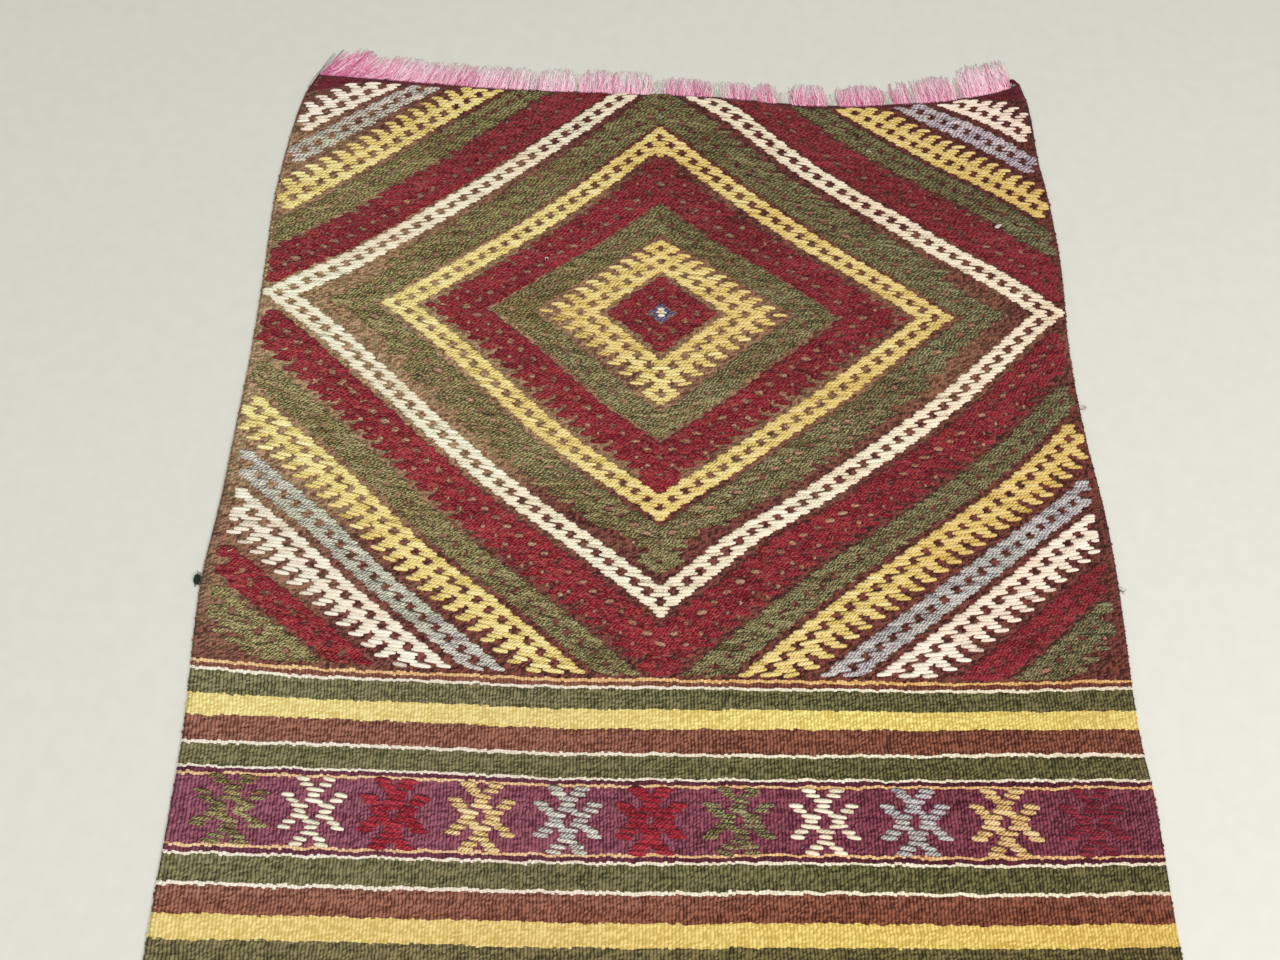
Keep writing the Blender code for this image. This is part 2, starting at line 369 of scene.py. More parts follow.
def pattern_of(bm):
    """The points and faces of a small bmesh shape that is strewn many times."""
    bm.verts.ensure_lookup_table()
    points = np.array([v.co for v in bm.verts])
    # Blender may start and list the faces in another way each run, so their order is made the same.
    faces = []
    for face in bm.faces:
        ring = [v.index for v in face.verts]
        first = ring.index(min(ring))
        faces.append(ring[first:] + ring[:first])
    bm.free()
    return points, sorted(faces)


def joined_copies(name, points, faces, material, measures):
    """One mesh from many copies of a shape. points has a row of moved points for each copy.

    measures are what its material reads, with a value or a place in the yarn for each point.
    """
    copies, a_copy = points.shape[:2]
    order = np.arange(copies)[:, None]
    mesh = bpy.data.meshes.new(name)
    sizes = np.array([len(face) for face in faces])
    corners = np.array([i for face in faces for i in face])
    mesh.vertices.add(copies * a_copy)
    mesh.vertices.foreach_set("co", (points * MM).astype(np.float32).ravel())
    mesh.loops.add(copies * len(corners))
    mesh.loops.foreach_set("vertex_index", (corners + a_copy * order).astype(np.int32).ravel())
    mesh.polygons.add(copies * len(sizes))
    starts = np.concatenate([[0], np.cumsum(sizes)[:-1]])
    mesh.polygons.foreach_set("loop_start", (starts + len(corners) * order).astype(np.int32).ravel())
    mesh.update(calc_edges=True)
    mesh.polygons.foreach_set("use_smooth", np.ones(len(mesh.polygons), bool))
    for key, values in measures.items():
        kind, slot = ("FLOAT_VECTOR", "vector") if values.ndim == 3 else ("FLOAT", "value")
        layer = mesh.attributes.new(key, kind, "POINT")
        layer.data.foreach_set(slot, values.astype(np.float32).ravel())
    mesh.materials.append(material)
    return placed(name, mesh)


def float_pattern():
    """One brocade float: a plump yarn that dives into the cloth at both tips, a unit long, wide and high."""
    bm = bmesh.new()
    bmesh.ops.create_uvsphere(bm, u_segments=5, v_segments=5, radius=0.5)
    bmesh.ops.rotate(bm, verts=bm.verts, cent=(0, 0, 0), matrix=Matrix.Rotation(math.pi / 2, 3, "Y"))
    for v in bm.verts:
        blunt = 1 + 0.45 * abs(v.co.x)
        v.co = (v.co.x, v.co.y * blunt, v.co.z * blunt - 0.22 * (v.co.x / 0.5) ** 2)
    return pattern_of(bm)


def turned(local, turn, across, along):
    """Copies turned in plan and moved to their places."""
    c, s = np.cos(turn)[:, None], np.sin(turn)[:, None]
    points = local.copy()
    points[:, :, 0] = across[:, None] + c * local[:, :, 0] - s * local[:, :, 1]
    points[:, :, 1] = along[:, None] + s * local[:, :, 0] + c * local[:, :, 1]
    return points


def lay_floats(name, material, warp, level, columns, width, height, lean, shade, lift):
    """Floats of one yarn. columns is each one's length in chart columns, lean its tilt in radians."""
    pattern, faces = FLOAT_SHAPE
    half = columns * COLUMN / 2
    ax, ay = place_at(warp - half, level)
    bx, by = place_at(warp + half, level)
    middle_x, middle_y = (ax + bx) / 2, (ay + by) / 2
    length = np.hypot(bx - ax, by - ay)
    local = pattern * np.stack([length, width, height], 1)[:, None]
    # A yarn is never straight: each one bows a little.
    bow = chance.normal(0, 0.25, len(warp))
    local[:, :, 1] += bow[:, None] * (1 - (2 * pattern[:, 0]) ** 2)
    points = turned(local, np.arctan2(by - ay, bx - ax) + lean, middle_x, middle_y)
    ground = cloth_height(middle_x, middle_y) + lift + 0.1
    points[:, :, 2] = np.maximum(local[:, :, 2] + ground[:, None], 0.4)
    yarn = local
    yarn[:, :, 0] += middle_x[:, None] + chance.uniform(0, 40, len(warp))[:, None]
    yarn[:, :, 2] = middle_y[:, None]
    shades = np.repeat(shade[:, None], pattern.shape[0], 1)
    return joined_copies(name, points, faces, material, {"yarn_mm": yarn, "shade": shades})


FLOAT_SHAPE = float_pattern()


# ---- the chart -------------------------------------------------------------------------------------------


def within(values, low, high):
    return (low < values) & (values < high)


def brocade_chart():
    """The yarn of each half stitch of a panel, row by row, from left to right; nought is bare ground."""
    rows = np.arange(FIRST_ROW, LAST_ROW + 1)[:, None]
    across = abs((np.arange(-2 * HALF_COLUMNS, 2 * HALF_COLUMNS)[None] + 0.5) / 2)
    up, far_half = abs(rows), rows > 0
    chart = np.zeros((rows.size, across.size), int)
    chart[3 * across + 2 * up <= 8.5] = NAVY
    for middle, teeth, yarn in DIAMONDS:
        hole_row = middle // 2
        # Each hole of a band has three rows: its own, and the one on each side of it.
        rung = np.floor((hole_row - up + 1) / 3)
        turn = hole_row - up - 3 * rung
        place = across - 2 * rung
        own, inward, outward = turn == 0, turn == 1, turn == -1
        band = own & within(abs(place), 1, 3)
        band |= inward & within(place, -2.5, 3.5) & (abs(place) > 0.5)
        band |= outward & within(place, -3.5, 3.5 if teeth else 2.5) & (abs(place) > 0.5)
        if yarn in (CRIMSON, OLIVE):
            # In the far half these two lie close up to the band inside them.
            hug = 1.0 if middle in HUGGING else 0.5
            for line, low in ((own, -3), (inward, -2.5), (outward, -3.5)):
                band |= far_half & line & within(place, low - hug, -2)
        if teeth:
            # The yellow and blush teeth stand apart. The crimson ones are packed, most of all in the far
            # half, and the olive ones are short and patchy.
            loose = chance.random(chart.shape)
            toothed = rung > -2
            whole = loose[:, :1] > (0.3 if yarn == OLIVE else 0.0)
            reach = 6 if yarn == OLIVE else 7
            band |= toothed & whole & own & within(place, reach - 2, reach)
            band |= toothed & whole & inward & within(place, reach - 3, reach - 1)
            if yarn in (CRIMSON, OLIVE):
                packed = np.where(far_half, 0.9 if yarn == CRIMSON else 0.6, 0.45)
                tight = toothed & (loose[:, 1:2] < packed)
                band |= tight & outward & within(place, 3, np.where(far_half, 6.0, 5.2))
                band |= tight & own & within(place, 3, np.where(far_half, 6.5, 4.2))
                band |= toothed & far_half & inward & within(place, 3, 6.5)
                # Weft of the ground puffs up in the holes.
                puffed = np.where(far_half, 0.6, 0.85) if yarn == CRIMSON else 0.6
                chart[own & (abs(place) < 1) & (loose[:, 2:3] < puffed)] = GROUND
                fleck = toothed & own & within(place, 3.5, 4.5) & (loose[:, 3:4] < 0.8)
                if yarn == CRIMSON:
                    fleck |= toothed & outward & within(place, 5, 6) & (loose[:, 4:5] < 0.55)
                chart[fleck] = GROUND
                band &= ~fleck
            if middle == SHORT_TEETH:
                # Beside the left and right tips of the white diamond its teeth are missing.
                band &= ~((up < 8 + 14 * loose[:, 5:6]) & (place > 3.2))
            above = up - hole_row
            # Over its tip on the middle line stands a small hook.
            for height, low, high in ((5, 0.5, 2.5), (6, 1, 3), (7, 0.5, 2.5), (8, -1, 1.5), (9, -1, 0.5)):
                band |= (above == height) & within(across, low, high)
        if middle >= FIRST_AT_EDGE:
            # Where a band meets the selvedge, its end is round.
            round_end = 1.2 * place + HALF_COLUMNS - across < -0.9
            band &= ~(round_end & ((rows < 0) | (yarn in (YELLOW, LAVENDER, BLUSH))))
        chart[band] = yarn
    # The first crimson comb ends in a longer point below, and the yellow ladder has a deeper crotch above.
    below = -51 - rows
    chart[(8 <= below) & (below <= 12) & (across < (12.5 - below) * 0.55 + 0.5)] = CRIMSON
    chart[(62 <= rows) & (rows <= 64) & (across < (rows - 61) / 2)] = YELLOW
    # The outermost warps carry no brocade, but for the tips of the large white diamond.
    edge = HALF_COLUMNS - across
    chart[(edge < 0.6) & (up > 8)] = 0
    chart[:, 0] = 0
    chart[(edge < 1.1) & ((chart == CRIMSON) | (chart == OLIVE))] = 0
    chart[(edge < 2.1) & (rows < -58)] = 0
    chart[(edge < 3.1) & (chart == GROUND)] = 0
    # The last corner beside the fringe is left bare.
    chart[(rows > 74) & (across > 60) & (chart == CRIMSON)] = 0
    return chart


def cut_into_floats(chart):
    """The runs of each row cut into floats of about three columns: their middle, row, length and yarn."""
    found = []
    for r, line in enumerate(chart):
        start = 0
        while start < len(line):
            stop = start
            while stop < len(line) and line[stop] == line[start]:
                stop += 1
            if line[start] == GROUND or (line[start] and stop - start > 1):
                parts = max(1, round((stop - start) / 5.5))
                cuts = np.linspace(start, stop, parts + 1)
                for low, high in zip(cuts, cuts[1:]):
                    middle, length = (low + high) / 4 - HALF_COLUMNS, (high - low) / 2
                    found.append((middle, r + FIRST_ROW, length, line[start]))
            start = stop
    return np.array(found, float)


# ---- the yarns -------------------------------------------------------------------------------------------

# How far apart the plies of a yarn lie at the near and at the far end of the rug, and how they slant.
PLY_PITCH, SLACK_PLY_PITCH, PLY_SLANT = 3.3, 5.0, -1.1
# How each dye is tinted at the left and at the right side.
SIDE_TINTS = ((1.08, 1.12, 1.14), (0.92, 0.82, 0.77))
UNTINTED = (1, 1, 1)
UNMIXED = ("#808080", 0.0)  # no second colour
BLEND = {"data_type": "RGBA"}
TINT = {"data_type": "RGBA", "blend_type": "MULTIPLY"}
SCALED_SUM = {"operation": "MULTIPLY_ADD"}


def tinted_sides_and_painted_far_light(add, colour, across_mm, along_mm, side_tints, far):
    """Every dye is tinted from the left side to the right, mostly paler on the left, and tinted again
    towards the far end.

    side_tints is the tint at its left and at its right side, and far the tint at its far end: painted light
    and shade that lightens or darkens the far end for how the light falls there.
    """
    sides, ends = (across_mm, -400.0, 400.0, *side_tints), (along_mm, 350.0, 780.0, UNTINTED, far)
    for place, start, stop, here, there in (sides, ends):
        part = add("MapRange", [place, start, stop])
        tint = add("Mix", [part, (*here, 1), (*there, 1)], **BLEND)
        colour = add("Mix", [1.0, colour, tint], **TINT)
    return colour


def brocade_wool(
    name, dark, body, light, ply=0.5, fleck=0.8, lot=UNMIXED, side_tints=SIDE_TINTS, stray=3.0, painted_side_shade=0.34,
    rubbed=UNMIXED, far=UNTINTED,
):
    """Hand-spun two-ply wool, dyed in small lots: soft and dull, with slanting plies and uneven dye.

    ply and fleck say how strongly the plies, with painted shade in the hollows between them, and the fibres
    show, lot the colour of other dye lots and how much of it there is, stray how crooked the plies run,
    painted_side_shade how dark the painted shade on the sides is, rubbed the colour of the thin places
    and how much of it comes through, and far the tint of the far end of the rug, painted light and shade
    for how the light falls there.
    """
    material, add, shader = start_material(
        name, Roughness=0.85, Sheen_Weight=0.12, Sheen_Roughness=0.5, Specular_IOR_Level=0.2
    )
    yarn = add("Attribute", attribute_name="yarn_mm").outputs["Vector"]
    shade = add("Attribute", attribute_name="shade").outputs["Fac"]
    along_yarn, aside, along_rug = add("SeparateXYZ", [yarn]).outputs
    # The plies cross the yarn at a slant about every 3 mm; the dark hollow between them is painted shade.
    run = add("Math", [aside, PLY_SLANT, along_yarn], **SCALED_SUM)
    rough_map = add("Mapping", {"Vector": yarn, "Scale": (0.45, 0.45, 0.3)})
    rough = add("TexNoise", {"Vector": rough_map, "Scale": 1.0, "Detail": 1.0})
    run = add("Math", [rough, stray, run], **SCALED_SUM)
    # The yarn was spun slacker towards the far end, so its plies are longer there.
    pitch = add("MapRange", [along_rug, 100.0, 800.0, PLY_PITCH, SLACK_PLY_PITCH])
    turn = add("Math", [run, pitch], operation="DIVIDE")
    turn = add("Math", [turn, math.tau], operation="MULTIPLY")
    wave = add("Math", [turn], operation="SINE")
    # Fibres: flecks under a millimetre wide and 2 mm long.
    fibre_map = add("Mapping", {"Vector": yarn, "Scale": (0.35, 0.9, 0.8)})
    fibre = add("TexNoise", {"Vector": fibre_map, "Scale": 1.0, "Detail": 3.0})
    tone = add("Math", [wave, 0.3 * ply, shade], **SCALED_SUM)
    fibres = add("Math", [fibre, 2 * fleck, -fleck], **SCALED_SUM)
    tone = add("Math", [tone, fibres], operation="ADD")
    # Painted shade: the sides of a float are darkened for the shade that its neighbours cast on them.
    aside = add("Math", [aside], operation="ABSOLUTE")
    edge = add("MapRange", [aside, 1.1, 2.4, 0.0, painted_side_shade])
    tone = add("Math", [tone, edge], operation="SUBTRACT")
    ramp = add("ValToRGB", [tone], stops=((0.05, dark), (0.48, body), (0.95, light)))
    # The dye lots change slowly from place to place.
    place = add("TexCoord").outputs["Object"]
    lot_map = add("Mapping", {"Vector": place, "Scale": (5.0, 14.0, 1.0)})
    patches = add("TexNoise", {"Vector": lot_map, "Scale": 1.0})
    part = add("MapRange", [patches, 0.42, 0.66, 0.0, lot[1]])
    colour = add("Mix", [part, ramp, linear(lot[0])], **TINT)
    # Where the pile of the yarn is rubbed thin, the ground shows through in small specks.
    speck_map = add("Mapping", {"Vector": yarn, "Scale": (0.24, 0.55, 0.6), "Location": (7.0, 3.0, 0.0)})
    speck = add("TexNoise", {"Vector": speck_map, "Scale": 1.0})
    thin = add("MapRange", [speck, 0.55, 0.66, 0.0, rubbed[1]])
    colour = add("Mix", [thin, colour, linear(rubbed[0])], **BLEND)
    across_m = add("SeparateXYZ", [place])
    across_rug = add("Math", [across_m, 1 / MM], operation="MULTIPLY")
    bump = add("Bump", {"Strength": 0.9, "Distance": 0.0007, "Height": tone})
    feed(shader, {"Base Color": tinted_sides_and_painted_far_light(add, colour, across_rug, along_rug, side_tints, far), "Normal": bump})
    return material


# The stripes from the middle of the star band outwards: where each starts, in mm, and the colours of its
# dark and its light flecks.
STRIPES = (
    (0.0, "#46122A", "#AC6878"),
    (24.8, "#CE9A66", "#FADEB2"),
    (27.0, "#3E1626", "#84485A"),
    (30.2, "#DCCCB8", "#FFF8EC"),
    (32.5, "#2C2C16", "#989068"),
    (50.1, "#E0D2BC", "#FFF8EC"),
    (52.6, "#4A1E16", "#B27C68"),
    (72.3, "#D2B45C", "#FFF2AE"),
    (89.0, "#2C2C16", "#9E966E"),
    (106.3, "#E0D2BC", "#FFF8EC"),
    (108.8, "#5A2A22", "#A87260"),
    (112.8, "#D09C60", "#FADCA8"),
    (115.5, "#431F1C", "#A07060"),
)
STRIPE_REACH = 128.0
LAST_STRIPE = 115.7
# A bead is the bit of weft that crosses one warp: it rises a little to the right.
BEAD_HEIGHT, BEAD_SLANT = 1.5, -0.42


def flat_woven_wool(name):
    """Weft-faced wool, hand-beaten: matt ribs of short slanting flecks, with thin wavering stripes."""
    material, add, shader = start_material(
        name, Roughness=0.9, Sheen_Weight=0.08, Sheen_Roughness=0.5, Specular_IOR_Level=0.15
    )
    warp = add("Attribute", attribute_name="warp_mm").outputs["Fac"]
    weft = add("Attribute", attribute_name="weft_mm").outputs["Fac"]
    place = add("CombineXYZ", [warp, weft])
    crooked_map = add("Mapping", {"Vector": place, "Scale": (0.02, 0.12, 1)})
    crooked = add("TexNoise", {"Vector": crooked_map, "Scale": 1.0})
    ribs_at = add("Math", [crooked, 3.0, warp], **SCALED_SUM)
    ribs_at = add("Math", [ribs_at, WARP_PITCH], operation="DIVIDE")
    rib = add("Math", [ribs_at], operation="FLOOR")
    rib_part = add("Math", [ribs_at], operation="FRACT")
    slant = add("Math", [warp, BEAD_SLANT, weft], **SCALED_SUM)
    picks_at = add("Math", [slant, BEAD_HEIGHT], operation="DIVIDE")
    picks_at = add("Math", [rib, 0.5, picks_at], **SCALED_SUM)
    pick = add("Math", [picks_at], operation="FLOOR")
    pick_part = add("Math", [picks_at], operation="FRACT")
    bead = add("CombineXYZ", [rib, pick])
    dice = add("TexWhiteNoise", {"Vector": bead}, noise_dimensions="2D")

    # The picks dip and rise over the warps, so a thin stripe is a scalloped line.
    wander_map = add("Mapping", {"Vector": place, "Scale": (0.045, 0.10, 1)})
    wander = add("TexNoise", {"Vector": wander_map, "Scale": 1.0, "Detail": 4.0, "Roughness": 0.65})
    drift = add("Math", [wander, 6.0, -3.0], **SCALED_SUM)
    steps = add("TexWhiteNoise", {"W": rib}, noise_dimensions="1D")
    drift = add("Math", [steps, 1.2, drift], **SCALED_SUM)
    level = add("Math", [weft, drift], operation="ADD")
    level = add("Math", [level, -0.6], operation="ADD")
    level = add("Math", [level], operation="ABSOLUTE")
    part = add("Math", [level, STRIPE_REACH], operation="DIVIDE")
    dark, light = (
        add("ValToRGB", [part], stops=[(stripe[0] / STRIPE_REACH, stripe[which]) for stripe in STRIPES])
        for which in (1, 2)
    )
    dark.color_ramp.interpolation = light.color_ramp.interpolation = "CONSTANT"

    # How light a place is: the bead's own dye, its streak of weft, painted shade between its ribs,
    # and the bobbin it came from.
    slanted = add("CombineXYZ", [warp, slant])
    streak_map = add("Mapping", {"Vector": slanted, "Scale": (0.22, 0.8, 1)})
    streak = add("TexNoise", {"Vector": streak_map, "Scale": 1.0})
    tone = add("Math", [dice, 0.7, -0.8], **SCALED_SUM)
    tone = add("Math", [streak, 0.4, tone], **SCALED_SUM)
    # Painted shade: each rib is lighter on its crown and darker where it dips between the warps.
    rib_turn = add("Math", [rib_part, math.pi], operation="MULTIPLY")
    rib_round = add("Math", [rib_turn], operation="SINE")
    tone = add("Math", [rib_round, 0.66, tone], **SCALED_SUM)
    bobbin_map = add("Mapping", {"Vector": place, "Scale": (0.006, 0.5, 1)})
    bobbin = add("TexNoise", {"Vector": bobbin_map, "Scale": 1.0})
    tone = add("Math", [bobbin, 0.6, tone], use_clamp=True, **SCALED_SUM)
    woven = add("Mix", [tone, dark, light], **BLEND)

    # The yellow on the near side of the stars came from a redder lot.
    nearer = add("MapRange", [weft, -60.0, -70.0])
    woven = add("Mix", [nearer, woven, linear("#F8F0E8")], **TINT)
    # The dyes of the stripes are still deep and clear on the right.
    depth = add("MapRange", [warp, -100.0, 160.0, 1.0, 1.26])
    deeper = add("Gamma", [woven, depth])
    part = add("MapRange", [warp, -100.0, 160.0])
    clear = add("Mix", [part, (1, 1, 1, 1), (1.16, 1.32, 1.30, 1)], **BLEND)
    woven = add("Mix", [1.0, deeper, clear], **TINT)

    # The ground of the panels is dyed unevenly: dark red-brown towards the ends, tan around the middle.
    wide_map = add("Mapping", {"Vector": place, "Scale": (0.004, 0.02, 1)})
    wide = add("TexNoise", {"Vector": wide_map, "Scale": 1.0, "Detail": 3.0})
    from_middle = add("Math", [level, chart_level(-6)], operation="SUBTRACT")
    from_middle = add("Math", [from_middle], operation="ABSOLUTE")
    worn = add("MapRange", [from_middle, 60.0, 330.0, 0.62, -0.55])
    worn = add("Math", [wide, 1.6, worn], **SCALED_SUM)
    worn = add("Math", [warp, -0.0014, worn], **SCALED_SUM)
    worn = add("Math", [worn, 0.75], operation="SUBTRACT", use_clamp=True)
    deep_ground = add("Mix", [worn, linear("#3C1A1A"), linear("#74503A")], **BLEND)
    pale_ground = add("Mix", [worn, linear("#8E5048"), linear("#D2AE88")], **BLEND)
    rough_tone = add("Math", [dice, 0.8, tone], **SCALED_SUM)
    rough_tone = add("Math", [rib_round, -0.22, rough_tone], **SCALED_SUM)
    rough_tone = add("Math", [rough_tone, 0.26], operation="SUBTRACT", use_clamp=True)
    ground = add("Mix", [rough_tone, deep_ground, pale_ground], **BLEND)
    # Fibres of the olive brocade have rubbed off on it.
    fluff_map = add("Mapping", {"Vector": slanted, "Scale": (0.12, 0.34, 1)})
    fluff = add("TexNoise", {"Vector": fluff_map, "Scale": 1.0, "Detail": 3.0})
    fluff = add("MapRange", [fluff, 0.46, 0.64, 0.0, 0.8])
    rubbing = add("Math", [worn, 0.85, 0.15], **SCALED_SUM)
    fluff = add("Math", [fluff, rubbing], operation="MULTIPLY")
    ground = add("Mix", [fluff, ground, linear("#84805A")], **BLEND)
    beyond = add("Math", [level, LAST_STRIPE], operation="GREATER_THAN")
    base = add("Mix", [beyond, woven, ground], **BLEND)

    # The heading, a few dark maroon picks before the fringe.
    heading = add("Attribute", attribute_name="heading_mm").outputs["Fac"]
    uneven = add("Math", [streak, 4.0, -2.0], **SCALED_SUM)
    heading = add("Math", [heading, uneven], operation="ADD")
    inside = add("MapRange", [heading, -0.3, 0.3])
    maroon = add("Mix", [tone, linear("#4A0E1C"), linear("#96344A")], **BLEND)
    colour = add("Mix", [inside, base, maroon], **BLEND)
    # Tinted from left to right; the far tint here is painted shade for the dimmer light at the far end.
    washed = tinted_sides_and_painted_far_light(add, colour, warp, weft, ((1.12, 1.15, 1.17), (0.88, 0.75, 0.73)), (0.78, 0.64, 0.64))

    pick_turn = add("Math", [pick_part, math.pi], operation="MULTIPLY")
    pick_round = add("Math", [pick_turn], operation="SINE")
    height = add("Math", [rib_round, pick_round], operation="MULTIPLY")
    bump = add("Bump", {"Strength": 0.8, "Distance": 0.0006, "Height": height})
    feed(shader, {"Base Color": washed, "Normal": bump})
    return material


def fringe_wool(name):
    """Fine loose warp ends, dyed pink by the washed-out wefts: pale and silky at the tips."""
    # Painted light: the emission strength makes the fringe glow faintly.
    material, add, shader = start_material(
        name, Roughness=0.7, Sheen_Weight=0.3, Sheen_Roughness=0.4, Specular_IOR_Level=0.3,
        Emission_Strength=0.13,
    )
    shade = add("Attribute", attribute_name="shade").outputs["Fac"]
    stops = (
        (0.0, "#B84E80"), (0.22, "#E48CB4"), (0.45, "#F8BED4"),
        (0.7, "#FFEAF0"), (0.92, "#FFF8F6"), (1.0, "#DCD8CE"),
    )
    ramp = add("ValToRGB", [shade], stops=stops)
    yarn = add("Attribute", attribute_name="yarn_mm").outputs["Vector"]
    fibre_map = add("Mapping", {"Vector": yarn, "Scale": (0.35, 1.5, 1.5)})
    fibre = add("TexNoise", {"Vector": fibre_map, "Scale": 1.0})
    part = add("MapRange", [fibre, 0.35, 0.65, 0.78, 1.12])
    colour = add("VectorMath", [ramp, part], operation="SCALE")
    # Painted light: a faint glow in the fringe's own colour stands in for light that passes through these
    # fine fibres.
    feed(shader, {"Base Color": colour, "Emission Color": colour})
    return material


def floor_paint(name):
    """Matt pale floor with the faintest mottle."""
    material, add, shader = start_material(name, Roughness=0.8, Specular_IOR_Level=0.2)
    place = add("TexCoord").outputs["Object"]
    mottle = add("TexNoise", {"Vector": place, "Scale": 60.0, "Detail": 4.0})
    ramp = add("ValToRGB", [mottle], stops=((0.35, "#E1E1DA"), (0.65, "#E4E4DD")))
    feed(shader, {"Base Color": ramp})
    return material


# ---- the cloth -------------------------------------------------------------------------------------------

CLOTH_COLUMNS, CLOTH_ROWS = 116, 220
CLOTH_THICKNESS = 1.9
TURN_PITCH = 3.3           # between two turns of the weft round the outer warps


def woven_cloth(material):
    """The ground cloth, with the outline that the CAD has, and where each point lies in the weave."""
    bm = bmesh.new()
    bmesh.ops.create_grid(bm, x_segments=CLOTH_COLUMNS, y_segments=CLOTH_ROWS, size=0.5)
    mesh = bpy.data.meshes.new("woven_cloth")
    bm.to_mesh(mesh)
    bm.free()
    place = np.empty(len(mesh.vertices) * 3, np.float32)
    mesh.vertices.foreach_get("co", place)
    u, v = place.reshape(-1, 3)[:, :2].T + 0.5

    def on_edge(edge, part):
        place = edge[0][0] + part * (edge[0][-1] - edge[0][0])
        return place, np.interp(place, *edge)

    def filled(near, far, left, right, row):
        """One measure over the whole grid, from what it is on the four edges."""
        corners = (
            (1 - u) * (1 - v) * LEFT[row][0] + u * (1 - v) * RIGHT[row][0]
            + (1 - u) * v * LEFT[row][-1] + u * v * RIGHT[row][-1]
        )
        return (1 - v) * near + v * far + (1 - u) * left + u * right - corners

    (near_x, near_y), (far_x, far_y) = on_edge(NEAR, u), on_edge(FAR, u)
    (left_y, left_x), (right_y, right_x) = on_edge(LEFT, v), on_edge(RIGHT, v)
    across = filled(near_x, far_x, left_x, right_x, 1)
    along = filled(near_y, far_y, left_y, right_y, 0)
    points = np.stack([across, along, cloth_height(across, along)], 1) * MM
    mesh.vertices.foreach_set("co", points.astype(np.float32).ravel())
    measures = {
        "warp_mm": warp_at(across, along),
        "weft_mm": level_at(across, along),
        "heading_mm": -room_at(across, along),
    }
    for key, values in measures.items():
        layer = mesh.attributes.new(key, "FLOAT", "POINT")
        layer.data.foreach_set("value", values.astype(np.float32))
    mesh.polygons.foreach_set("use_smooth", np.ones(len(mesh.polygons), bool))
    mesh.materials.append(material)
    piece = placed("woven_cloth", mesh)
    back = piece.modifiers.new("back", "SOLIDIFY")
    back.thickness = CLOTH_THICKNESS * MM
    back.offset = -1.0
    return piece


def selvedge_turns(material):
    """The wefts that turn round the outer warps: a row of small loops down each long edge."""
    pattern, faces = FLOAT_SHAPE
    rows = []
    for side, edge in ((-1, LEFT), (1, RIGHT)):
        along = np.arange(edge[0][0] + 2, edge[0][-1] - 1, TURN_PITCH)
        along = along + chance.normal(0, 0.35, len(along))
        across = np.interp(along, *edge) + side * chance.normal(0.1, 0.35, len(along))
        rows.append(np.stack([across - side * 2.3, along], 1))
    across, along = np.concatenate(rows).T
    count = len(across)
    length, width = chance.normal(6.4, 0.5, count), chance.normal(3.9, 0.4, count)
    size = np.stack([length, width, np.full(count, 2.3)], 1)
    points = turned(pattern * size[:, None], chance.normal(0.10, 0.12, count), across, along)
    points[:, :, 2] = np.maximum(points[:, :, 2] + 1.5, 0.2)
    shape = points.shape[:2]
    measures = {
        "warp_mm": warp_at(points[:, :, 0], points[:, :, 1]),
        "weft_mm": np.repeat(level_at(across, along)[:, None], shape[1], 1),
        "heading_mm": np.full(shape, -50.0),
    }
    return joined_copies("selvedge_turns", points, faces, material, measures)


# ---- the fringe ------------------------------------------------------------------------------------------

THREAD_SPANS = 7
FLOOR_GAP = 0.15           # how far a thread stays above the floor
ROOT_HEIGHT = 1.5          # where the warp ends leave the cloth


def thread_pattern():
    """A thread one unit long, standing up, as a thin closed tube of three sides."""
    bm = bmesh.new()
    bmesh.ops.create_cone(bm, cap_ends=True, segments=3, radius1=1.0, radius2=1.0, depth=1.0)
    bmesh.ops.translate(bm, verts=bm.verts, vec=(0, 0, 0.5))
    for step in range(1, THREAD_SPANS):
        whole = bm.verts[:] + bm.edges[:] + bm.faces[:]
        bmesh.ops.bisect_plane(bm, geom=whole, plane_co=(0, 0, step / THREAD_SPANS), plane_no=(0, 0, 1))
    return pattern_of(bm)


THREAD_SHAPE = thread_pattern()


def lay_threads(name, material, start, tip, bend, lift, radius, shade, above=FLOOR_GAP):
    """Threads from their starts to their tips in plan, in mm. bend pushes the middle sideways, lift raises
    the start, and above is how high all of it lies.
    """
    pattern, faces = THREAD_SHAPE
    side, rise, t = pattern.T
    way = tip - start
    length = np.hypot(way[:, 0], way[:, 1])[:, None]
    ahead = way / length
    beside = np.stack([ahead[:, 1], -ahead[:, 0]], 1)
    bend, radius, shade = bend[:, None], radius[:, None], shade[:, None]
    arch = np.sin(math.pi * t) * bend + np.sin(2 * math.pi * t) * chance.normal(0, 0.8, len(start))[:, None]
    thin = radius * (1 - 0.3 * t)
    points = np.empty((len(start), len(pattern), 3))
    for axis in (0, 1):
        sideways = beside[:, axis, None] * (arch + thin * side)
        points[:, :, axis] = start[:, axis, None] + way[:, axis, None] * t + sideways
    height = lift * (1 - t) + radius * 1.1
    height = height + chance.uniform(0, 1.2, len(start))[:, None] * np.sin(math.pi * t)
    points[:, :, 2] = np.maximum(height + thin * rise, FLOOR_GAP) + above - FLOOR_GAP
    yarn = np.empty_like(points)
    yarn[:, :, 0] = t * length
    yarn[:, :, 1] = side * 2
    yarn[:, :, 2] = chance.uniform(0, 60, len(start))[:, None]
    # The tips are washed out, but for those of the grey threads.
    grey = shade >= 0.95
    shades = np.where(grey, 1.0, np.clip(shade + 0.34 * (t - 0.35), 0, 0.92))
    return joined_copies(name, points, faces, material, {"yarn_mm": yarn, "shade": shades})


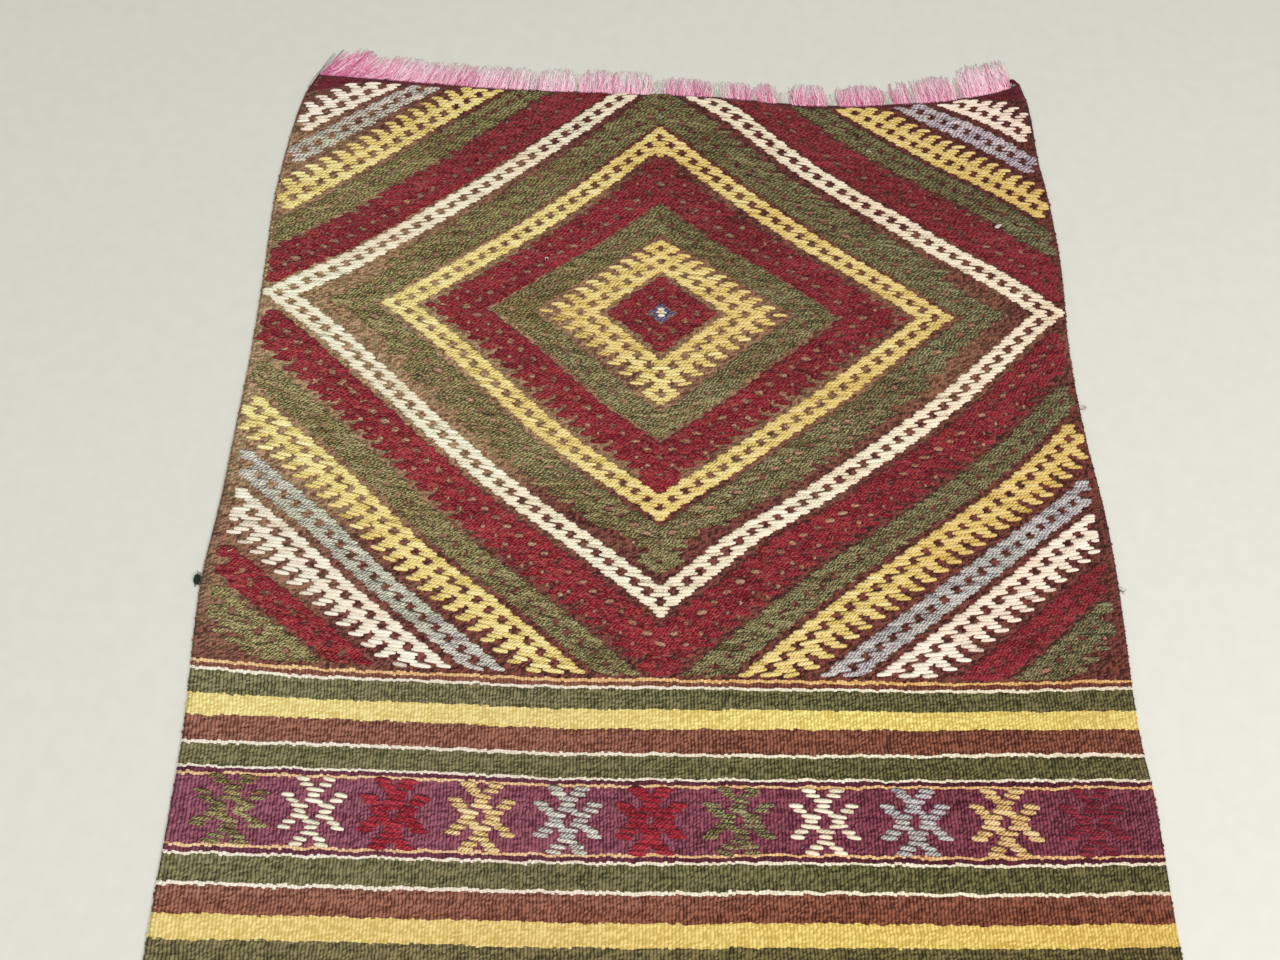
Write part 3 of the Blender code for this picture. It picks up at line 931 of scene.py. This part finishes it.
# The tufts of the far fringe as they lie: first and last root, first and last tip, how long and how many the
# threads are, how pale and how grey.
FAR_TUFTS = (
    (-374, -352, -346, -318, 41, 60, -0.20, 0.0), (-368, -330, -338, -314, 40, 90, -0.12, 0.05),
    (-345, -306, -328, -286, 34, 90, -0.08, 0.0), (-312, -262, -298, -250, 33, 110, 0.05, 0.03),
    (-262, -246, -252, -236, 30, 40, 0.1, 0.05), (-243, -214, -236, -204, 31, 66, 0.0, 0.03),
    (-216, -172, -210, -164, 31, 94, 0.1, 0.05), (-172, -142, -170, -140, 30, 62, 0.15, 0.05),
    (-140, -128, -138, -126, 25, 7, 0.3, 0.6), (-128, -92, -126, -90, 31, 76, 0.22, 0.03),
    (-92, -84, -90, -82, 24, 6, 0.3, 0.5), (-84, -50, -83, -48, 31, 72, 0.12, 0.05),
    (-50, -8, -48, -6, 31, 84, 0.15, 0.05), (-8, 8, -8, 8, 22, 8, 0.3, 0.8),
    (8, 60, 10, 56, 25, 100, 0.0, 0.08), (60, 78, 60, 78, 24, 9, 0.35, 0.7),
    (78, 102, 77, 101, 24, 56, 0.05, 0.05),
    (102, 110, 102, 110, 20, 3, 0.3, 0.9), (110, 130, 110, 127, 26, 40, 0.05, 0.05),
    (130, 147, 130, 146, 20, 6, 0.3, 0.9), (147, 185, 150, 180, 28, 86, 0.0, 0.0),
    (185, 199, 184, 198, 20, 5, 0.3, 0.9), (199, 247, 201, 243, 28, 104, 0.0, 0.02),
    (247, 259, 247, 258, 21, 6, 0.3, 0.8), (259, 277, 258, 274, 31, 40, 0.05, 0.02),
    (277, 286, 276, 286, 24, 5, 0.4, 0.8), (286, 328, 284, 324, 34, 88, 0.08, 0.05),
    (328, 338, 327, 338, 30, 7, 0.2, 0.7), (338, 362, 336, 360, 42, 76, 0.14, 0.0),
    (362, 390, 359, 383, 40, 74, 0.14, 0.0),
)


def far_fringe(material):
    """Tufts of loose warp ends, with sparse grey threads in the gaps."""
    tufts = []
    for first, last, first_tip, last_tip, length, count, pale, grey in FAR_TUFTS:
        count = int(count * (2.6 if grey > 0.4 else 1.45))
        part = (np.arange(count) + chance.uniform(0, 1, count)) / count
        root = first + part * (last - first)
        reach = first_tip + part * (last_tip - first_tip) + chance.normal(0, 3.0, count)
        end = np.interp(root, *FAR)
        crown = 1 - 0.14 * (2 * part - 1) ** 4
        broken = chance.random(count) < 0.35
        short, whole = chance.uniform(0.45, 0.85, count), chance.uniform(0.82, 1.12, count)
        long = length * crown * np.where(broken, short, whole)
        ahead = np.sqrt(np.maximum(long**2 - (reach - root) ** 2, (0.5 * long) ** 2))
        bend = chance.normal(0, 1.5, count) + (part - 0.5) * 3
        is_grey = chance.random(count) < grey
        pink = np.clip(chance.normal(0.37 + pale, 0.20, count), 0.0, 0.72)
        shade = np.where(is_grey, 0.97, pink)
        radius = np.where(is_grey, 0.3, chance.uniform(0.36, 0.7, count))
        tufts.append(np.stack([root, end - 1.5, reach, end + ahead, bend, radius, shade]))
    *places, bend, radius, shade = np.concatenate(tufts, 1)
    start, tip = np.stack(places[:2], 1), np.stack(places[2:], 1)
    return lay_threads("far_fringe", material, start, tip, bend, ROOT_HEIGHT, radius, shade)


def near_fringe(material):
    """The fringe at the other end, in plain even tufts."""
    tufts = []
    place = NEAR[0][0] + 4
    while place < NEAR[0][-1] - 8:
        width = chance.uniform(16, 34)
        last = min(place + width, NEAR[0][-1] - 2)
        count = int((last - place) * 1.9)
        root = np.linspace(place, last, count) + chance.normal(0, 0.6, count)
        side = (root - (place + last) / 2) / max((last - place) / 2, 1)
        end = np.interp(root, *NEAR)
        reach = (place + last) / 2 + side * width * 0.32 + chance.normal(0, 1.6, count)
        long = 37 * (1 - 0.16 * side**2) * chance.uniform(0.75, 1.06, count)
        ahead = np.sqrt(np.maximum(long**2 - (reach - root) ** 2, 100))
        bend = side * width * 0.06 + chance.normal(0, 0.9, count)
        shade = np.clip(chance.normal(0.42, 0.16, count), 0.05, 0.74)
        tufts.append(np.stack([root, end + 1.5, reach, end - ahead, bend, shade]))
        place = last + chance.choice([0.5, 2.0, 8.0], p=[0.5, 0.3, 0.2])
    *places, bend, shade = np.concatenate(tufts, 1)
    start, tip = np.stack(places[:2], 1), np.stack(places[2:], 1)
    radius = chance.uniform(0.30, 0.46, len(start))
    return lay_threads("near_fringe", material, start, tip, bend, ROOT_HEIGHT, radius, shade)


# Wisps and ends that stick out of the rug: start, tip, how many, how far they spread, how thick.
CORNER_ENDS = (
    ((-383, 772), (-352, 829), 2, 3.0, 0.24), ((-381, 770), (-360, 822), 2, 3.0, 0.24),
    ((386, 771), (391, 781), 6, 1.6, 0.55), ((391, 781), (400, 776), 7, 1.4, 0.60),
)
GREEN_ENDS = (
    ((-398, 203), (-407, 205), 5, 1.5, 0.55), ((-407, 204), (-411, 212), 4, 4.0, 0.45),
    ((-407, 205), (-413, 200), 4, 4.0, 0.45), ((-406, 203), (-409, 196), 3, 3.0, 0.40),
)
SIDE_ENDS = (
    ((-388, 298), (-394, 301), 3, 2.5, 0.22), ((-386, 306), (-391, 310), 2, 2.0, 0.20),
    ((398, 375), (406, 378), 4, 2.5, 0.22), ((404, 195), (410, 193), 4, 3.0, 0.25),
    ((-372, 560), (-378, 563), 2, 2.5, 0.20), ((391, 560), (396, 557), 2, 2.5, 0.20),
)
LINT = (
    ((346, 583), (353, 586), 5, 0.6, 0.85), ((3, 727), (6, 730), 2, 1.5, 0.40),
    ((223, 681), (227, 683), 2, 1.5, 0.40), ((-388, 230), (-383, 232), 1, 1.0, 0.35),
    ((-114, 543), (-111, 546), 2, 1.5, 0.40), ((-152, 92), (-148, 94), 1, 1.0, 0.40),
    ((118, 356), (121, 354), 1, 1.0, 0.35),
)


def loose_ends(name, material, ends, shade, lift, above):
    """A few single threads of one colour."""
    starts, tips, radii = [], [], []
    for start, tip, count, spread, thick in ends:
        starts.append(np.array(start) + chance.normal(0, 0.25 * spread, (count, 2)))
        tips.append(np.array(tip) + chance.normal(0, 0.6 * spread, (count, 2)))
        radii.append(np.full(count, thick))
    start, tip, radius = np.concatenate(starts), np.concatenate(tips), np.concatenate(radii)
    bend = chance.normal(0, 1.6, len(start))
    shades = np.clip(chance.normal(shade, 0.12, len(start)), 0, 1)
    return lay_threads(name, material, start, tip, bend, lift, radius, shades, above)


# ---- building the rug ------------------------------------------------------------------------------------

# Each yarn of the brocade: its dark, middle and light colour, and what sets it apart from the others.
YARNS = {
    CRIMSON: ("crimson", ("#40010A", "#860822", "#BC4652"), dict(
        ply=0.9, fleck=1.1, lot=("#C8A8B0", 0.6), side_tints=((1.10, 1.10, 1.02), (0.80, 0.62, 0.65)), painted_side_shade=0.12,
        rubbed=("#AE7464", 0.6), far=(0.80, 0.74, 0.80),
    )),
    YELLOW: ("yellow", ("#947A36", "#EED57E", "#FFF6C4"), dict(
        ply=0.7, fleck=0.6, lot=("#F4DCB4", 0.45), side_tints=((1.10, 1.18, 1.26), (0.93, 0.84, 0.75)),
    )),
    OLIVE: ("olive", ("#28280F", "#60623C", "#B4B48C"), dict(
        ply=1.05, fleck=1.1, lot=("#D8C8B0", 0.6), side_tints=((1.42, 1.24, 1.08), (0.83, 0.76, 0.76)), stray=5.0,
        painted_side_shade=0.2, rubbed=("#8A5842", 0.6), far=(0.76, 0.78, 0.68),
    )),
    CREAM: ("cream", ("#9C9078", "#F8F0DA", "#FFFFF2"), dict(
        ply=0.45, fleck=0.5, lot=("#FFECDE", 0.5), side_tints=((1.0, 1.06, 1.04), (1.0, 0.92, 0.88)),
        far=(1.0, 0.97, 0.95),
    )),
    BLUSH: ("blush", ("#AC9A8C", "#F8EEE2", "#FFFFFA"), dict(
        ply=0.35, fleck=0.5, lot=("#FFE6DC", 0.4), side_tints=((1.0, 1.07, 1.01), (1.0, 0.95, 0.89)),
        far=(1.06, 0.98, 0.99),
    )),
    LAVENDER: ("lavender", ("#605A6A", "#B0AAB4", "#F0EEF2"), dict(
        ply=1.0, fleck=0.6, lot=("#DCE4D0", 0.7), side_tints=((1.24, 1.24, 1.0), (0.96, 0.91, 0.90)), stray=4.0,
        far=(1.0, 0.91, 0.95),
    )),
    GROUND: ("ground", ("#6A3E2E", "#A0705A", "#D0AC92"), dict(ply=0.6, fleck=1.0, far=(0.5, 0.42, 0.44))),
    NAVY: ("navy", ("#24223A", "#4E486E", "#8A84A4"), dict(ply=0.8)),
    RED: ("red", ("#4E0612", "#8E1026", "#C04452"), dict(ply=0.6, fleck=1.0)),
    OCHRE: ("ochre", ("#8E6C34", "#E6C07C", "#FFF0C4"), dict(ply=1.0)),
    WINE: ("wine", ("#3C0616", "#74142C", "#A43C50"), dict(ply=0.6, fleck=1.0)),
}
# The floats of each yarn: how wide, how much longer than their stitches, how high, in mm, and how uneven.
BUILD = {
    CRIMSON: (6.4, 7.4, 1.5, 2.0), OLIVE: (5.5, 7.4, 1.5, 2.0), YELLOW: (5.1, 3.4, 1.9, 1.0),
    CREAM: (4.6, 2.8, 1.9, 1.0), BLUSH: (4.6, 2.8, 1.9, 1.0), LAVENDER: (5.0, 4.0, 1.9, 1.0),
    RED: (5.4, 5.0, 1.9, 1.0), WINE: (5.2, 4.4, 1.9, 1.0), OCHRE: (4.8, 2.6, 1.9, 1.0),
    NAVY: (4.2, 1.6, 1.9, 1.0), GROUND: (4.5, -3.4, 1.5, 3.0),
}
FLOAT_LEAN = 0.10

weave = flat_woven_wool("flat_woven_wool")
wools = {}
for key, (name, colours, nature) in YARNS.items():
    wools[key] = brocade_wool(name + "_wool", *colours, **nature)

cloth = woven_cloth(weave)
turns = selvedge_turns(weave)

stitches = cut_into_floats(brocade_chart())
# The heart of each panel is sewn last: navy rows that taper, and a small cream cross on them.
navy_heart = np.array([(0.0, row, 5 - abs(row) * 1.2, NAVY) for row in range(-3, 4)])
stitches = np.concatenate([stitches[stitches[:, 3] != NAVY], navy_heart])
CROSS = ((1.1, 1.0), (0.0, 1.9), (-1.1, 1.0))  # row and length

floats = {}


def note_floats(key, warp, level, size, lean, lift=0.0, slim=1.0):
    """Keeps floats of one yarn for later. Each measure is one number or one for each float."""
    measures = [np.atleast_1d(values) for values in (warp, level, size, lean, lift, slim)]
    floats.setdefault(int(key), []).append(np.array(np.broadcast_arrays(*measures)))


def star_floats():
    """The floats of one star: how far each lies across and along from its middle, in mm, and its length."""
    for row, parts in enumerate(STAR_ROWS):
        for side in (1, -1) if row else (1,):
            for place, length in parts:
                for hand in (1, -1) if place else (1,):
                    yield hand * place * STAR_STEP, side * row * STAR_ROW, length


for end in (1, -1):
    column, row, size, yarn = stitches.T
    warp, level = column * COLUMN, end * chart_level(row)
    # Above the middle the bands lean the other way, and so do the floats.
    lean = FLOAT_LEAN * np.sign(column) * -np.sign(row) * end
    for key in np.unique(yarn):
        these = yarn == key
        note_floats(key, warp[these], level[these], size[these], lean[these])
    for row, size in CROSS:
        note_floats(CREAM, 0.0, end * (chart_level(0) + row * ROW), size, -FLOAT_LEAN, 0.5, 0.9)

for across, key in STARS:
    fuller, wider = STAR_FULLNESS[key]
    aside, level, length = np.array(list(star_floats())).T
    size = length * fuller * STAR_STEP / COLUMN
    note_floats(key, warp_at(across, 0.0) + aside, level, size, -FLOAT_LEAN, 0.0, wider)

brocade = []
for key, groups in floats.items():
    measures = np.concatenate(groups, 1)
    warp, level, size, lean, lift, slim = measures[:, room_at(*place_at(*measures[:2])) > 0.8]
    count = len(warp)
    wide, spread, high, uneven = BUILD[key]
    warp = warp + chance.normal(0, 0.35 * uneven, count)
    level = level + chance.normal(0, 0.16, count)
    size = np.maximum(size + spread / COLUMN, 0.6) + chance.normal(0, 0.08 * uneven, count)
    lift = lift + (0.45 if key == GROUND else 0.0)
    width = chance.normal(wide, 0.28 * uneven, count) * slim
    height = chance.normal(high, 0.15, count)
    shade = np.clip(chance.normal(0.55, 0.10, count), 0, 1)
    tilt = lean + chance.normal(0, 0.045 * uneven, count)
    name = "brocade_" + YARNS[key][0]
    brocade.append(lay_floats(name, wools[key], warp, level, size, width, height, tilt, shade, lift))

pink = fringe_wool("fringe_wool")
far_threads = far_fringe(pink)
near_threads = near_fringe(pink)

green = brocade_wool("green_knot_wool", "#1C2818", "#38462E", "#66705A", 0.6)
maroon = brocade_wool("dark_red_knot_wool", "#4A0E16", "#6E1824", "#8E3440", 0.6)
brown = brocade_wool("brown_wool", "#4E2420", "#7A463A", "#A67C6A", 0.6)
lint = brocade_wool("lint_cotton", "#C8C0B4", "#F2EEE6", "#FFFFFF", 0.3, 0.3)
for name, material, ends, shade, lift, above, slot in (
    ("corner_ends", maroon, CORNER_ENDS, 0.5, 1.6, 0.15, "dark_red_yarn"),
    ("green_ends", green, GREEN_ENDS, 0.5, 1.6, 0.3, "green_yarn"),
    ("side_ends", brown, SIDE_ENDS, 0.5, 1.2, 0.2, "flatweave_wool"),
    ("lint", lint, LINT, 0.6, 0.3, 3.7, "flatweave_wool"),
):
    piece = loose_ends(name, material, ends, shade, lift, above)
    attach(piece, "root")

for piece in (cloth, turns, *brocade):
    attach(piece, "root")
for piece, node in ((far_threads, "fringe_far"), (near_threads, "fringe_near")):
    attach(piece, "root")
    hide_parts(node)
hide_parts("rug_cloth")
for node, material in (("selvedge_knot", green), ("corner_knot", maroon)):
    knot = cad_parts[node]
    knot.data.materials.clear()
    knot.data.materials.append(material)

# ---- floor, light and camera -----------------------------------------------------------------------------

bm = bmesh.new()
bmesh.ops.create_grid(bm, x_segments=1, y_segments=1, size=4.0)
floor_mesh = bpy.data.meshes.new("floor")
bm.to_mesh(floor_mesh)
bm.free()
floor_mesh.materials.append(floor_paint("floor_paint"))
floor = placed("floor", floor_mesh)

for name, place, size, power in (
    ("key_light", (1.5, -1.5, 2.1), 1.8, 68.0),
    ("fill_light", (-1.4, -0.2, 2.6), 2.4, 20.0),
):
    lamp = bpy.data.lights.new(name, "AREA")
    lamp.size = size
    lamp.energy = power
    lamp.color = (1.0, 0.985, 0.955)
    light = placed(name, lamp)
    light.location = place
    light.rotation_euler = (Vector((0, 0.2, 0)) - Vector(place)).to_track_quat("-Z", "Y").to_euler()

world = bpy.data.worlds.new("studio")
world.use_nodes = True
feed(world.node_tree.nodes["Background"], {"Color": linear("#FBFAF2"), "Strength": 0.42})
bpy.context.scene.world = world
bpy.context.scene.view_settings.view_transform = "Standard"

camera_data = bpy.data.cameras.new("camera")
camera_data.sensor_width = 36.0
camera_data.lens = 30.15
camera = placed("camera", camera_data)
camera.location = (-0.0185, -0.0966, 0.9086)
camera.rotation_euler = (math.radians(23.67), 0, 0)
bpy.context.scene.camera = camera

bpy.context.view_layer.update()
